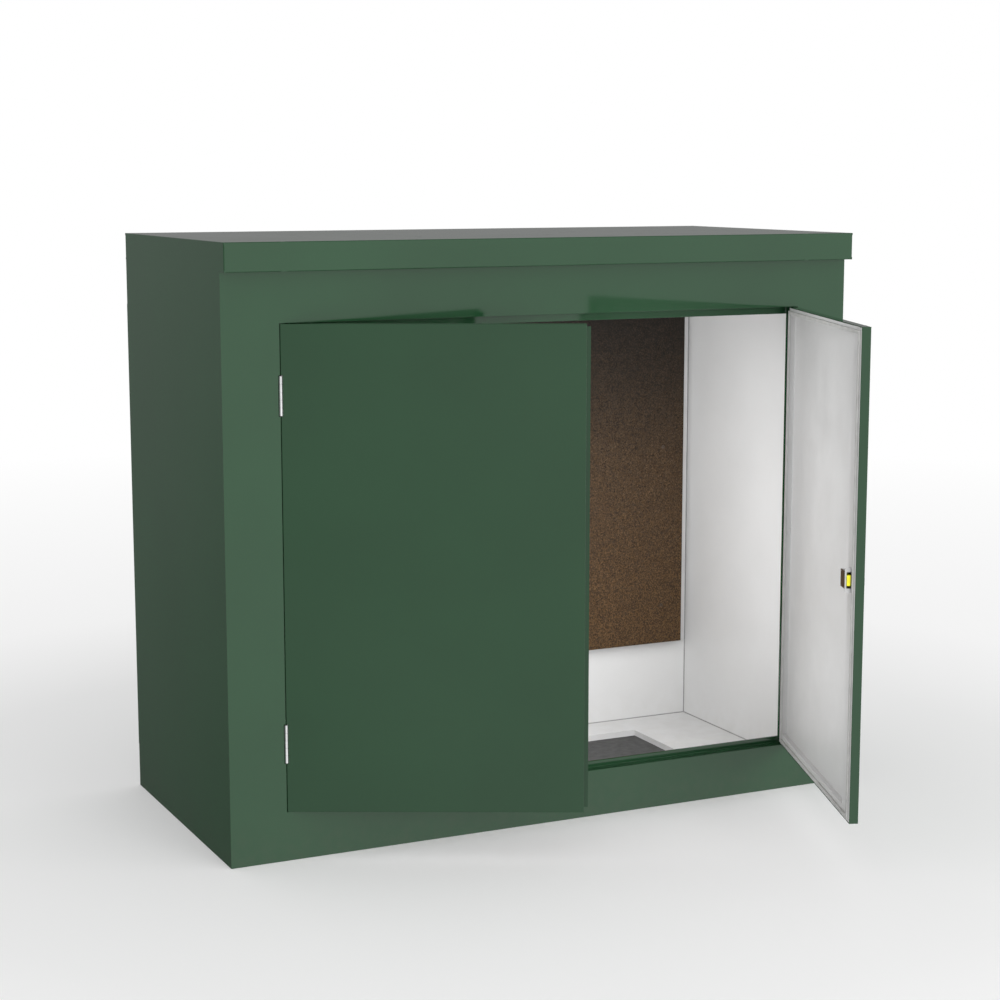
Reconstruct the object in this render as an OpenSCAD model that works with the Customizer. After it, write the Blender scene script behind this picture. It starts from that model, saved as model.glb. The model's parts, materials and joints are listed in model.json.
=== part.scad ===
// Two-door glass-fibre cabinet for outdoor electrical service equipment, shown with
// both doors standing open. Millimetres, +Z up, the doors face -Y. The origin is the
// middle of the base, in the plane that the cabinet stands on.

/* [Body] */
// Overall width of the cabinet
body_w = 1500; // [1400:10:2000]
// Depth of the body, without the roof overhang
body_d = 682; // [600:2:900]
// Overall height of the cabinet
body_h = 1300; // [1250:10:1600]
// Thickness of the moulded outer shell
shell_t = 6; // [5:1:8]
// Thickness of the white lining boards
lining_t = 12; // [8:1:16]

/* [Roof] */
// Height of the fascia along the front edge of the roof
fascia_h = 60; // [40:5:70]
// How far the fascia stands out from the front
fascia_out = 30; // [15:1:50]

/* [Doorway] */
// Width of the door opening
opening_w = 1251; // [1100:1:1300]
// Height of the door opening
opening_h = 1028; // [900:1:1050]
// Height of the sill above the ground
sill_h = 106; // [80:1:130]
// Depth of the rebate that the doors close into
rebate_d = 24; // [24:1:36]
// Width of the lip up both sides of the back of the rebate
lip_w = 12; // [10:1:18]
// Width of the same lip along the top
lip_top_w = 17; // [12:1:20]
// Width of the same lip along the sill
lip_sill_w = 14; // [12:1:18]

/* [Doors] */
// Thickness of a door
door_t = 19; // [17:1:19]
// Thickness of a door's outer skin
door_skin_t = 4; // [3:1:5]
// Thickness of the skin where it turns round the edges of a door
door_edge_t = 1.5; // [1:0.5:2]
// Thickness of the white panel inside a door
door_panel_t = 3; // [2:1:4]
// Width of the raised rim round the inside of a door
rim_w = 25; // [22:1:35]
// Width of the same rim along the top of a door
rim_top_w = 19; // [18:1:35]
// Width of the batten that stiffens the meeting edge
stile_w = 36; // [32:1:50]
// Gap above and below a door
door_gap = 1; // [1:0.5:5]
// Gap between the two doors
meeting_gap = 2; // [2:1:6]
// How far the left door stands open, in degrees
left_open = 26; // [0:1:90]
// How far the right door stands open, in degrees
right_open = 70; // [0:1:90]

/* [Door seal] */
// Distance from the edge of a door to its seal
seal_inset = 8; // [8:1:10]
// Width of the seal
seal_w = 7; // [5:1:10]
// Height of the seal above the inside of the door
seal_h = 4.5; // [2:0.5:4.5]

/* [Meeting strip] */
// Overall width of the strip behind the meeting edges
strip_w = 30; // [26:1:36]
// How far the strip reaches past the edge of the left door
strip_reach = 9; // [7:0.5:9]
// Thickness of the strip
strip_t = 4; // [3:0.5:4]
// How far the strip stops short of the top and bottom of the door
strip_short = 6; // [2:1:20]

/* [Hinges] */
// Length of a hinge
hinge_len = 80; // [60:5:120]
// Distance from the end of the door to the hinge
hinge_inset = 107; // [60:1:200]
// Radius of the hinge knuckles
knuckle_r = 4; // [3.5:0.5:5]
// Radius of the hinge pins
pin_r = 2; // [1.5:0.5:2]
// Thickness of a hinge plate, let in flush to the door or the jamb
hinge_plate_t = 1.5; // [1.2:0.1:1.5]
// Gap between a door and its jamb
hinge_gap = 1.2; // [1.2:0.2:3]
// How far the hinge pin stands in front of the doors
hinge_proud = 0.5; // [0.5:0.5:2]

/* [Lock] */
// Length of the lock case along the door
lock_l = 38; // [36:1:60]
// Height of the lock case
lock_h = 36; // [36:1:60]
// Depth of the lock case
lock_d = 16.5; // [16:0.5:20]
// Distance from the edge of the door to the lock case
lock_inset = 17; // [14:1:20]
// Height of the middle of the lock above the ground
lock_z = 616; // [500:1:750]
// Travel of the lock bolt
lock_travel = 18; // [16:1:18]
// Radius of the key barrel
barrel_r = 8; // [7:0.5:8]

/* [Shoot bolts] */
// Radius of the two sliding bolts on the left door
shoot_r = 5; // [4:0.5:6]
// Length of a sliding bolt
shoot_len = 160; // [140:5:240]
// Travel of a sliding bolt
shoot_travel = 30; // [25:1:30]

/* [Interior] */
// Thickness of the backboard
board_t = 18; // [12:1:25]
// Thickness of the battens behind the backboard
batten_t = 12; // [6:1:20]
// Gap between the backboard and the side walls
board_side_gap = 30; // [15:1:60]
// Height of the lower edge of the backboard above the ground
board_z0 = 219; // [150:1:400]
// Gap between the backboard and the roof lining
board_top_gap = 30; // [15:1:100]
// Thickness of the floor panel
floor_t = 15; // [12:1:25]
// Width of the cable aperture in the floor
aperture_w = 1048; // [600:2:1200]
// Depth of the cable aperture in the floor
aperture_d = 436; // [200:2:440]

/* [Plinth bolts] */
// Spacing of the plinth bolts across the cabinet
plinth_x = 600; // [300:10:1000]
// Spacing of the plinth bolts from front to back
plinth_y = 540; // [500:5:560]
// Radius of the holes for the plinth bolts
plinth_hole_r = 7; // [5:0.5:9]

/* [Hidden] */
$fn = 48;

// Clearance round a turning or sliding fit
run_fit = 0.05;
// Clearance round a screw
screw_fit = 0.03;
// How far a cutting shape runs past the surface that it cuts
past = 1;

// Cabinet frame
front_y = -body_d / 2;
inside_x = body_w / 2 - shell_t - lining_t;
inside_y = body_d / 2 - shell_t - lining_t;
roof_z = body_h - shell_t;
ceiling_z = roof_z - lining_t;
lip_back_y = front_y + rebate_d + shell_t;
opening_z1 = sill_h + opening_h;
rebate_x = opening_w / 2 + shell_t;

// Leaf frame: the origin is on the hinge axis, X runs from the hinge to the meeting
// edge, and Y runs from the front of the closed door towards the inside.
axis_x = opening_w / 2 - hinge_gap / 2;
axis_y = front_y - hinge_proud;
leaf_w = (opening_w - 2 * hinge_gap - meeting_gap) / 2;
leaf_x0 = hinge_gap / 2;
leaf_x1 = leaf_x0 + leaf_w;
leaf_z0 = sill_h + door_gap;
leaf_z1 = opening_z1 - door_gap;
leaf_front = hinge_proud;
leaf_back = leaf_front + door_t;
skin_back = leaf_front + door_skin_t;
recess_back = skin_back + door_panel_t;
stile_x1 = leaf_x1 - rim_w;
stile_x0 = stile_x1 - stile_w;

// Hinges
hinge_z = [leaf_z0 + hinge_inset, leaf_z1 - hinge_inset - hinge_len];
knuckle_count = 5;
knuckle_gap = 0.5;
knuckle_len = (hinge_len - (knuckle_count - 1) * knuckle_gap) / knuckle_count;
knuckle_pitch = knuckle_len + knuckle_gap;
plate_x1 = leaf_x0 + hinge_plate_t;
plate_y0 = knuckle_r + 1;
frame_plate_y1 = hinge_proud + rebate_d - 2;
door_plate_y1 = leaf_back - 1;
hinge_relief_r = knuckle_r + 0.6;
hinge_screw_y = plate_y0 + 8;
hinge_screw_z = [12, 40, 68];

// Screws
screw_r = 1.6;
screw_head_r = 3.2;
screw_head_h = 1.4;
frame_screw_len = 5;
door_screw_len = 12;

// Lock, in the leaf frame
forend_t = 2;
forend_w = 17.5;
forend_h = 53;
forend_end_r = 13.2;
case_t = 1.5;
lock_x1 = leaf_x1 - lock_inset;
lock_x0 = lock_x1 - lock_l;
lock_back = leaf_back + lock_d;
case_x1 = lock_x1 - forend_t;
barrel_x = (lock_x0 + lock_x1) / 2;
cam_r = lock_travel / sqrt(2);
cam_y0 = leaf_back + 2.5;
cam_y1 = cam_y0 + 3;
bolt_y0 = leaf_back + 6.2;
bolt_y1 = bolt_y0 + 7.5;
bolt_h = 22;
bolt_proud = 2;
bolt_tail_x0 = lock_x0 + 4.5;
bolt_tail_l = 11;
cam_pin_r = 2;
cam_pin_slack = 0.6;

// Keeper on the left door, in the leaf frame
keeper_t = 1.5;
keeper_x1 = leaf_x1 + strip_reach - 0.5;
keeper_l = 22;
keeper_x0 = keeper_x1 - keeper_l;
keeper_y0 = leaf_back + strip_t;
keeper_bridge_y = bolt_y1 + 0.8;
keeper_foot = 12;
keeper_screw_z = 19;

// Shoot bolts, in the leaf frame
shoot_x = (stile_x0 + stile_x1) / 2;
shoot_y = hinge_proud + rebate_d + shell_t + shoot_r + 1;
shoot_rest_gap = 8;
shoot_top_z = opening_z1 - lip_top_w - shoot_rest_gap;
guide_z = [-32, -112];
guide_h = 12;
guide_w = 20;
guide_foot_w = 34;
guide_foot_t = 2.5;
guide_over = 9;
guide_screw_x = 13.5;
handle_z = -87;
handle_r = 4;
handle_l = 22;
leaf_mid_z = (leaf_z0 + leaf_z1) / 2;

// Box between two opposite corners
module block(a, b) {
    translate(a)
        cube(b - a);
}

// Rectangular ring in the XZ plane, cut through a box by a smaller box
module ring(a, b, margin_low, margin_high) {
    difference() {
        block(a, b);
        block([a.x + margin_low.x, a.y - past, a.z + margin_low.y],
              [b.x - margin_high.x, b.y + past, b.z - margin_high.y]);
    }
}

// Places children that are drawn in a leaf frame on the two open doors
module on_left_leaf() {
    translate([-axis_x, axis_y, 0])
        rotate([0, 0, -left_open])
            children();
}

module on_right_leaf() {
    translate([axis_x, axis_y, 0])
        rotate([0, 0, right_open])
            mirror([1, 0, 0])
                children();
}

// Places children that are drawn in a leaf frame on the two jambs
module on_left_jamb() {
    translate([-axis_x, axis_y, 0])
        children();
}

module on_right_jamb() {
    translate([axis_x, axis_y, 0])
        mirror([1, 0, 0])
            children();
}

module at_hinges() {
    for (z = hinge_z)
        translate([0, 0, z])
            children();
}

// Cylinder along +Y from its base
module y_cylinder(r, h) {
    rotate([-90, 0, 0])
        cylinder(r = r, h = h);
}

// Countersunk screw along +Z, head end at the origin
module countersunk(head_r, head_h, shank_r, length, fit) {
    cylinder(r1 = head_r + fit, r2 = shank_r + fit, h = head_h);
    cylinder(r = shank_r + fit, h = length + fit);
}

module csk_screw(length, fit = 0) {
    countersunk(screw_head_r, screw_head_h, screw_r, length, fit);
}

// Pan-head screw along -Z, seated at the origin
module pan_screw(head_r, head_h, shank_r, length) {
    cylinder(r = head_r, h = head_h);
    translate([0, 0, -length])
        cylinder(r = shank_r, h = length + head_h / 2);
}

// The screws of one door hinge plate, in the leaf frame
module hinge_screws(length, fit = 0) {
    for (z = hinge_screw_z)
        translate([leaf_x0, hinge_screw_y, z])
            rotate([0, 90, 0])
                csk_screw(length, fit);
}

// One half of a hinge on the +X side of its axis
module hinge_half(knuckles, plate_y1) {
    difference() {
        union() {
            block([leaf_x0, plate_y0, 0], [plate_x1, plate_y1, hinge_len]);
            for (k = knuckles)
                translate([0, 0, k * knuckle_pitch]) {
                    cylinder(r = knuckle_r, h = knuckle_len);
                    block([leaf_x0, pin_r + 1, 0], [plate_x1, plate_y0 + 0.5, knuckle_len]);
                }
        }
        translate([0, 0, -past])
            cylinder(r = pin_r + run_fit, h = hinge_len + 2 * past);
        hinge_screws(door_screw_len, screw_fit);
    }
}

module frame_hinge_plates() {
    at_hinges()
        mirror([1, 0, 0])
            hinge_half([0, 2, 4], frame_plate_y1);
}

module door_hinge_plates() {
    at_hinges()
        hinge_half([1, 3], door_plate_y1);
}

module hinge_pins() {
    pin_head_r = knuckle_r - 0.6;
    pin_head_h = 0.8;
    at_hinges() {
        cylinder(r = pin_r, h = hinge_len);
        for (z = [-pin_head_h, hinge_len])
            translate([0, 0, z])
                cylinder(r = pin_head_r, h = pin_head_h);
    }
}

module frame_hinge_screws(fit = 0) {
    at_hinges()
        mirror([1, 0, 0])
            hinge_screws(frame_screw_len, fit);
}

module door_hinge_screws(fit = 0) {
    at_hinges()
        hinge_screws(door_screw_len, fit);
}

// Hollows in the edge of a door for the knuckles and for the plates
module hinge_reliefs(plate_y1) {
    relief_extra = 2.5;
    at_hinges() {
        translate([0, 0, -relief_extra])
            cylinder(r = hinge_relief_r, h = hinge_len + 2 * relief_extra);
        block([leaf_x0 - past, pin_r, 0], [plate_x1, plate_y1, hinge_len]);
    }
}

// Cabinet body

module left_side_panel() {
    mirror([1, 0, 0])
        right_side_panel();
}

module right_side_panel() {
    color("#46604c")
        block([body_w / 2 - shell_t, front_y, 0], [body_w / 2, body_d / 2, roof_z]);
}

module rear_panel() {
    rear_x = body_w / 2 - shell_t;
    color("#46604c")
        block([-rear_x, body_d / 2 - shell_t, 0], [rear_x, body_d / 2, roof_z]);
}

module roof_panel() {
    color("#46604c")
        block([-body_w / 2, front_y - fascia_out, roof_z], [body_w / 2, body_d / 2, body_h]);
}

// Hollow box under the front edge of the roof, closed behind by the front panel
module roof_fascia() {
    inner_x = body_w / 2 - shell_t;
    fascia_y = front_y - fascia_out;
    fascia_z = body_h - fascia_h;
    color("#46604c")
        difference() {
            block([-body_w / 2, fascia_y, fascia_z], [body_w / 2, front_y, roof_z]);
            block([-inner_x, fascia_y + shell_t, fascia_z + shell_t],
                  [inner_x, front_y + past, roof_z + past]);
        }
}

module front_panel() {
    inner_x = body_w / 2 - shell_t;
    side = inner_x - opening_w / 2;
    color("#46604c")
        difference() {
            ring([-inner_x, front_y, 0], [inner_x, front_y + shell_t, roof_z],
                 [side, sill_h], [side, roof_z - opening_z1]);
            both_jambs()
                hinge_cuts();
        }
}

// The return round the opening that the doors close into
module door_rebate() {
    color("#46604c")
        difference() {
            ring([-rebate_x, front_y + shell_t, sill_h - shell_t],
                 [rebate_x, lip_back_y - shell_t, opening_z1 + shell_t],
                 [shell_t, shell_t], [shell_t, shell_t]);
            both_jambs()
                hinge_cuts();
        }
}

// The lip behind the rebate that the doors close against
module door_lip() {
    side = shell_t + lip_w;
    color("#46604c")
        ring([-rebate_x, lip_back_y - shell_t, sill_h - shell_t],
             [rebate_x, lip_back_y, opening_z1 + shell_t],
             [side, shell_t + lip_sill_w], [side, shell_t + lip_top_w]);
}

module both_jambs() {
    on_left_jamb()
        children();
    on_right_jamb()
        children();
}

module hinge_cuts() {
    mirror([1, 0, 0])
        hinge_reliefs(frame_plate_y1);
    frame_hinge_screws(screw_fit);
}

module front_lining() {
    side = inside_x - rebate_x;
    head = ceiling_z - (opening_z1 + shell_t);
    color("#d9d9d6")
        ring([-inside_x, front_y + shell_t, floor_t],
             [inside_x, front_y + shell_t + lining_t, ceiling_z],
             [side, sill_h - shell_t - floor_t], [side, head]);
}

// Side lining on the +X side
module side_lining() {
    color("#d9d9d6")
        block([inside_x, -body_d / 2 + shell_t, 0],
              [inside_x + lining_t, body_d / 2 - shell_t, body_h - shell_t]);
}

module left_wall_lining() {
    mirror([1, 0, 0])
        side_lining();
}

module right_wall_lining() {
    side_lining();
}

module rear_wall_lining() {
    color("#d9d9d6")
        block([-inside_x, inside_y, 0], [inside_x, inside_y + lining_t, body_h - shell_t]);
}

module roof_lining() {
    color("#d9d9d6")
        block([-inside_x, -body_d / 2 + shell_t, ceiling_z],
              [inside_x, inside_y, body_h - shell_t]);
}

module floor_panel() {
    color("#d4d4d0")
        difference() {
            block([-inside_x, -body_d / 2 + shell_t, 0], [inside_x, inside_y, floor_t]);
            block([-aperture_w / 2, -aperture_d / 2, -past],
                  [aperture_w / 2, aperture_d / 2, floor_t + past]);
            for (x = [-1, 1], y = [-1, 1])
                translate([x * plinth_x / 2, y * plinth_y / 2, -past])
                    cylinder(r = plinth_hole_r, h = floor_t + 2 * past);
        }
}

// Backboard

board_x = inside_x - board_side_gap;
board_y0 = inside_y - batten_t - board_t;
board_z1 = ceiling_z - board_top_gap;
batten_w = 50;
batten_inset = 60;
batten_short = 20;
board_screw_inset = 100;
batten_x = [-1, -1 / 3, 1 / 3, 1];
board_screw_z = [board_z0 + board_screw_inset, (board_z0 + board_z1) / 2,
                 board_z1 - board_screw_inset];
board_screw_len = board_t + 8;
board_screw_r = 2.4;
board_head_r = 5;
board_head_h = 2.6;

module at_battens() {
    for (k = batten_x)
        translate([k * (board_x - batten_inset), 0, 0])
            children();
}

module backboard_battens() {
    color("#b08c5c")
        difference() {
            at_battens()
                block([-batten_w / 2, inside_y - batten_t, board_z0 + batten_short],
                      [batten_w / 2, inside_y, board_z1 - batten_short]);
            board_screws(screw_fit);
        }
}

module backboard() {
    color("#5f4830")
        difference() {
            block([-board_x, board_y0, board_z0], [board_x, board_y0 + board_t, board_z1]);
            board_screws(screw_fit);
        }
}

// Countersunk screws through the board into the battens
module board_screws(fit = 0) {
    at_battens()
        for (z = board_screw_z)
            translate([0, board_y0, z])
                rotate([-90, 0, 0])
                    countersunk(board_head_r, board_head_h, board_screw_r,
                                board_screw_len, fit);
}

module backboard_screws() {
    color("#b9bcc0")
        board_screws();
}

// Hinge nodes

module left_frame_hinge_plates() {
    color("#d4d7da")
        on_left_jamb()
            frame_hinge_plates();
}

module right_frame_hinge_plates() {
    color("#d4d7da")
        on_right_jamb()
            frame_hinge_plates();
}

module left_hinge_pins() {
    color("#c4c8cc")
        on_left_jamb()
            hinge_pins();
}

module right_hinge_pins() {
    color("#c4c8cc")
        on_right_jamb()
            hinge_pins();
}

module left_frame_hinge_screws() {
    color("#b9bcc0")
        on_left_jamb()
            frame_hinge_screws();
}

module right_frame_hinge_screws() {
    color("#b9bcc0")
        on_right_jamb()
            frame_hinge_screws();
}

module left_door_hinge_plates() {
    color("#d4d7da")
        on_left_leaf()
            door_hinge_plates();
}

module right_door_hinge_plates() {
    color("#d4d7da")
        on_right_leaf()
            door_hinge_plates();
}

module left_door_hinge_screws() {
    color("#b9bcc0")
        on_left_leaf()
            door_hinge_screws();
}

module right_door_hinge_screws() {
    color("#b9bcc0")
        on_right_leaf()
            door_hinge_screws();
}

// Parts that both doors have, in the leaf frame

pocket_x0 = leaf_x0 + door_edge_t;
pocket_x1 = leaf_x1 - door_edge_t;
pocket_z0 = leaf_z0 + door_edge_t;
pocket_z1 = leaf_z1 - door_edge_t;
rim_side = rim_w - door_edge_t;
rim_top = rim_top_w - door_edge_t;

// Outer sheet of a door
module door_skin() {
    difference() {
        block([leaf_x0, leaf_front, leaf_z0], [leaf_x1, skin_back, leaf_z1]);
        hinge_reliefs(door_plate_y1);
    }
}

// The same skin where it turns round the edges of the door
module door_edge() {
    difference() {
        ring([leaf_x0, skin_back, leaf_z0], [leaf_x1, leaf_back, leaf_z1],
             [door_edge_t, door_edge_t], [door_edge_t, door_edge_t]);
        hinge_reliefs(door_plate_y1);
        door_hinge_screws(screw_fit);
    }
}

module door_panel() {
    block([pocket_x0, skin_back, pocket_z0], [pocket_x1, recess_back, pocket_z1]);
}

module door_rim() {
    difference() {
        ring([pocket_x0, recess_back, pocket_z0], [pocket_x1, leaf_back, pocket_z1],
             [rim_side, rim_side], [rim_side, rim_top]);
        door_hinge_screws(screw_fit);
    }
}

module door_stile() {
    block([stile_x0, recess_back, leaf_z0 + rim_w],
          [stile_x1, leaf_back, leaf_z1 - rim_top_w]);
}

module door_seal() {
    ring([leaf_x0 + seal_inset, leaf_back, leaf_z0 + seal_inset],
         [leaf_x1 - seal_inset, leaf_back + seal_h, leaf_z1 - seal_inset],
         [seal_w, seal_w], [seal_w, seal_w]);
}

// Left door

module left_door_skin() {
    color("#3d5745")
        on_left_leaf()
            door_skin();
}

module left_door_edge() {
    color("#3d5745")
        on_left_leaf()
            door_edge();
}

module left_door_panel() {
    color("#d9d9d6")
        on_left_leaf()
            door_panel();
}

module left_door_rim() {
    color("#dcdcd9")
        on_left_leaf()
            difference() {
                door_rim();
                strip_screws(screw_fit);
            }
}

module meeting_stile() {
    color("#dcdcd9")
        on_left_leaf()
            difference() {
                door_stile();
                guide_screws(screw_fit);
            }
}

// The left door's seal stops at the meeting strip, which closes that edge
module left_door_seal() {
    color("#c9cbc8")
        on_left_leaf()
            difference() {
                door_seal();
                block([strip_x0 - seal_end_gap, leaf_back - past, leaf_z0],
                      [leaf_x1, leaf_back + seal_h + past, leaf_z1]);
            }
}

strip_x1 = leaf_x1 + strip_reach;
strip_x0 = strip_x1 - strip_w;
strip_relief = 0.6;
seal_end_gap = 2;
strip_screw_inset = 60;
strip_screw_x = strip_x0 + 8;
strip_screw_count = 6;
strip_screw_len = 12;

module meeting_strip() {
    color("#3d5745")
        on_left_leaf()
            difference() {
                block([strip_x0, leaf_back, leaf_z0 + strip_short],
                      [strip_x1, leaf_back + strip_t, leaf_z1 - strip_short]);
                block([leaf_x1, leaf_back - past, leaf_z0],
                      [strip_x1 + past, leaf_back + strip_relief, leaf_z1]);
                strip_screws(screw_fit);
                keeper_screws(screw_fit);
            }
}

// Countersunk screws through the strip, spread evenly along the door
module strip_screws(fit = 0) {
    first_z = leaf_z0 + strip_screw_inset;
    pitch = (leaf_z1 - leaf_z0 - 2 * strip_screw_inset) / (strip_screw_count - 1);
    for (k = [0 : strip_screw_count - 1])
        translate([strip_screw_x, leaf_back + strip_t, first_z + k * pitch])
            rotate([90, 0, 0])
                csk_screw(strip_screw_len, fit);
}

module meeting_strip_screws() {
    color("#b9bcc0")
        on_left_leaf()
            strip_screws();
}

// Staple that the lock bolt shoots into
module lock_keeper() {
    bridge_z = bolt_h / 2 + 0.8;
    color("#b9bcc0")
        on_left_leaf()
            difference() {
                union() {
                    block([keeper_x0, keeper_y0, lock_z - bridge_z - keeper_foot],
                          [keeper_x1, keeper_y0 + keeper_t, lock_z + bridge_z + keeper_foot]);
                    block([keeper_x0, keeper_y0, lock_z - bridge_z - keeper_t],
                          [keeper_x1, keeper_bridge_y + keeper_t, lock_z + bridge_z + keeper_t]);
                }
                block([keeper_x0 - past, keeper_y0 + keeper_t, lock_z - bridge_z],
                      [keeper_x1 + past, keeper_bridge_y, lock_z + bridge_z]);
                keeper_screws(screw_fit);
            }
}

keeper_screw_len = keeper_t + strip_t;

module keeper_screws(fit = 0) {
    for (side = [-1, 1])
        translate([(keeper_x0 + leaf_x1) / 2, keeper_y0 + keeper_t, lock_z + side * keeper_screw_z])
            rotate([90, 0, 0])
                csk_screw(keeper_screw_len, fit);
}

module lock_keeper_screws() {
    color("#b9bcc0")
        on_left_leaf()
            keeper_screws();
}

// Draws children once for the upper bolt and once, mirrored, for the lower bolt
module at_both_bolts() {
    children();
    translate([0, 0, 2 * leaf_mid_z])
        mirror([0, 0, 1])
            children();
}

// Two drilled blocks for one bolt, on feet that are screwed to the stile
module bolt_guides() {
    difference() {
        for (z = guide_z)
            translate([shoot_x, leaf_back, shoot_top_z + z]) {
                block([-guide_w / 2, 0, 0],
                      [guide_w / 2, shoot_y - leaf_back + guide_over, guide_h]);
                block([-guide_foot_w / 2, 0, 0], [guide_foot_w / 2, guide_foot_t, guide_h]);
            }
        translate([shoot_x, shoot_y, shoot_top_z - shoot_len])
            cylinder(r = shoot_r + run_fit, h = shoot_len);
        bolt_guide_screws(screw_fit);
    }
}

module bolt_guide_screws(fit = 0) {
    for (z = guide_z, side = [-1, 1])
        translate([shoot_x + side * guide_screw_x, leaf_back + guide_foot_t,
                   shoot_top_z + z + guide_h / 2])
            rotate([90, 0, 0])
                csk_screw(door_screw_len, fit);
}

module guide_screws(fit = 0) {
    at_both_bolts()
        bolt_guide_screws(fit);
}

module shoot_bolt_guides() {
    color("#9fa4a8")
        on_left_leaf()
            at_both_bolts()
                bolt_guides();
}

module shoot_bolt_guide_screws() {
    color("#b9bcc0")
        on_left_leaf()
            guide_screws();
}

// Round bar with a cross handle between its guides
module shoot_bolt() {
    translate([shoot_x, shoot_y, shoot_top_z - shoot_len])
        cylinder(r = shoot_r, h = shoot_len);
    translate([shoot_x, shoot_y, shoot_top_z + handle_z])
        y_cylinder(handle_r, shoot_r + handle_l);
}

module top_shoot_bolt() {
    color("#c4c8cc")
        on_left_leaf()
            shoot_bolt();
}

module bottom_shoot_bolt() {
    color("#c4c8cc")
        on_left_leaf()
            translate([0, 0, 2 * leaf_mid_z])
                mirror([0, 0, 1])
                    shoot_bolt();
}

// Right door

module right_door_skin() {
    color("#3d5745")
        on_right_leaf()
            difference() {
                door_skin();
                barrel_bore();
            }
}

module right_door_edge() {
    color("#3d5745")
        on_right_leaf()
            door_edge();
}

module right_door_panel() {
    color("#d9d9d6")
        on_right_leaf()
            difference() {
                door_panel();
                barrel_bore();
            }
}

module right_door_rim() {
    color("#dcdcd9")
        on_right_leaf()
            difference() {
                door_rim();
                case_screws(screw_fit);
            }
}

module lock_stile() {
    color("#dcdcd9")
        on_right_leaf()
            difference() {
                door_stile();
                barrel_bore();
                case_screws(screw_fit);
            }
}

module right_door_seal() {
    color("#c9cbc8")
        on_right_leaf()
            door_seal();
}

// Lock parts, in the leaf frame

module barrel_bore() {
    bore_y0 = leaf_front - escutcheon_t - past;
    translate([barrel_x, bore_y0, lock_z])
        y_cylinder(barrel_r + run_fit, leaf_back + 2 * case_t - bore_y0);
}

module lock_case() {
    color("#8d8f8c")
        on_right_leaf()
            difference() {
                block([lock_x0, leaf_back, lock_z - lock_h / 2],
                      [case_x1, lock_back - case_t, lock_z + lock_h / 2]);
                block([lock_x0 + case_t, leaf_back + case_t, lock_z - lock_h / 2 + case_t],
                      [case_x1 + past, lock_back, lock_z + lock_h / 2 - case_t]);
                barrel_bore();
                case_screws(screw_fit);
            }
}

case_screw_len = 10;
case_screw_z = 13;
case_screw_inset = 4;
case_screw_r = 1.2;
case_head_r = 2.4;
case_head_h = 0.9;

module case_screws(fit = 0) {
    for (x = [lock_x0 + case_t + case_screw_inset, case_x1 - case_screw_inset])
        translate([x, leaf_back + case_t, lock_z - case_screw_z])
            rotate([90, 0, 0]) {
                translate([0, 0, -case_head_h])
                    cylinder(r = case_head_r + fit, h = case_head_h);
                cylinder(r = case_screw_r + fit, h = case_screw_len);
            }
}

module lock_case_screws() {
    color("#b9bcc0")
        on_right_leaf()
            case_screws();
}

// Plate with rounded ends and a window for the bolt
module lock_forend() {
    mid_y = leaf_back + forend_w / 2;
    end_z = forend_h / 2 - forend_end_r;
    window_y = [bolt_y0 - 2.6, bolt_y1 + 0.4];
    window_z = 17;
    color("#e4e4e0")
        on_right_leaf()
            difference() {
                intersection() {
                    block([case_x1, leaf_back, lock_z - forend_h / 2],
                          [lock_x1, leaf_back + forend_w, lock_z + forend_h / 2]);
                    translate([case_x1 - past, mid_y, lock_z])
                        rotate([0, 90, 0])
                            linear_extrude(forend_t + 2 * past) {
                                for (side = [-1, 1])
                                    translate([side * end_z, 0])
                                        circle(r = forend_end_r);
                                square([2 * end_z, 2 * forend_end_r], center = true);
                            }
                }
                block([case_x1 - past, window_y[0], lock_z - window_z],
                      [lock_x1 + past, window_y[1], lock_z + window_z]);
            }
}

module lock_cover() {
    color("#6b5233")
        on_right_leaf()
            difference() {
                block([lock_x0, lock_back - case_t, lock_z - lock_h / 2],
                      [case_x1, lock_back, lock_z + lock_h / 2]);
                cover_screws(screw_fit);
            }
}

// Four small pan heads that hold the cover on the case walls
module cover_screws(fit = 0) {
    head_r = 1.8;
    head_h = 0.7;
    shank_r = 0.7;
    inset_x = 6;
    inset_z = 2.8;
    for (x = [lock_x0 + inset_x, case_x1 - inset_x], side = [-1, 1])
        translate([x, lock_back, lock_z + side * (lock_h / 2 - inset_z)])
            rotate([-90, 0, 0])
                pan_screw(head_r, head_h, shank_r + fit, case_t);
}

module lock_cover_screws() {
    color("#c4c8cc")
        on_right_leaf()
            cover_screws();
}

escutcheon_r = 16;
escutcheon_t = 1.6;

module lock_escutcheon() {
    color("#c4c8cc")
        on_right_leaf()
            difference() {
                translate([barrel_x, leaf_front - escutcheon_t, lock_z])
                    y_cylinder(escutcheon_r, escutcheon_t);
                barrel_bore();
            }
}

// Key barrel with a three-sided key recess outside and the cam that drives the bolt
module lock_barrel() {
    recess_d = 9;
    key_r = 5;
    barrel_y0 = leaf_front - escutcheon_t + 0.3;
    color("#b9bcc0")
        on_right_leaf()
            translate([barrel_x, 0, lock_z]) {
                difference() {
                    translate([0, barrel_y0, 0])
                        y_cylinder(barrel_r, cam_y1 - barrel_y0);
                    translate([0, barrel_y0 - past, 0])
                        rotate([-90, 0, 0])
                            cylinder(r = key_r, h = recess_d + past, $fn = 3);
                }
                rotate([0, -135, 0])
                    cam();
            }
}

// Lever from the barrel to the pin, drawn along +X
module cam() {
    lever_w = 5;
    block([0, cam_y0, -lever_w / 2], [cam_r, cam_y1, lever_w / 2]);
    translate([cam_r, cam_y0, 0]) {
        y_cylinder(lever_w / 2, cam_y1 - cam_y0);
        y_cylinder(cam_pin_r, bolt_y1 - cam_y0 - 0.5);
    }
}

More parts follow.
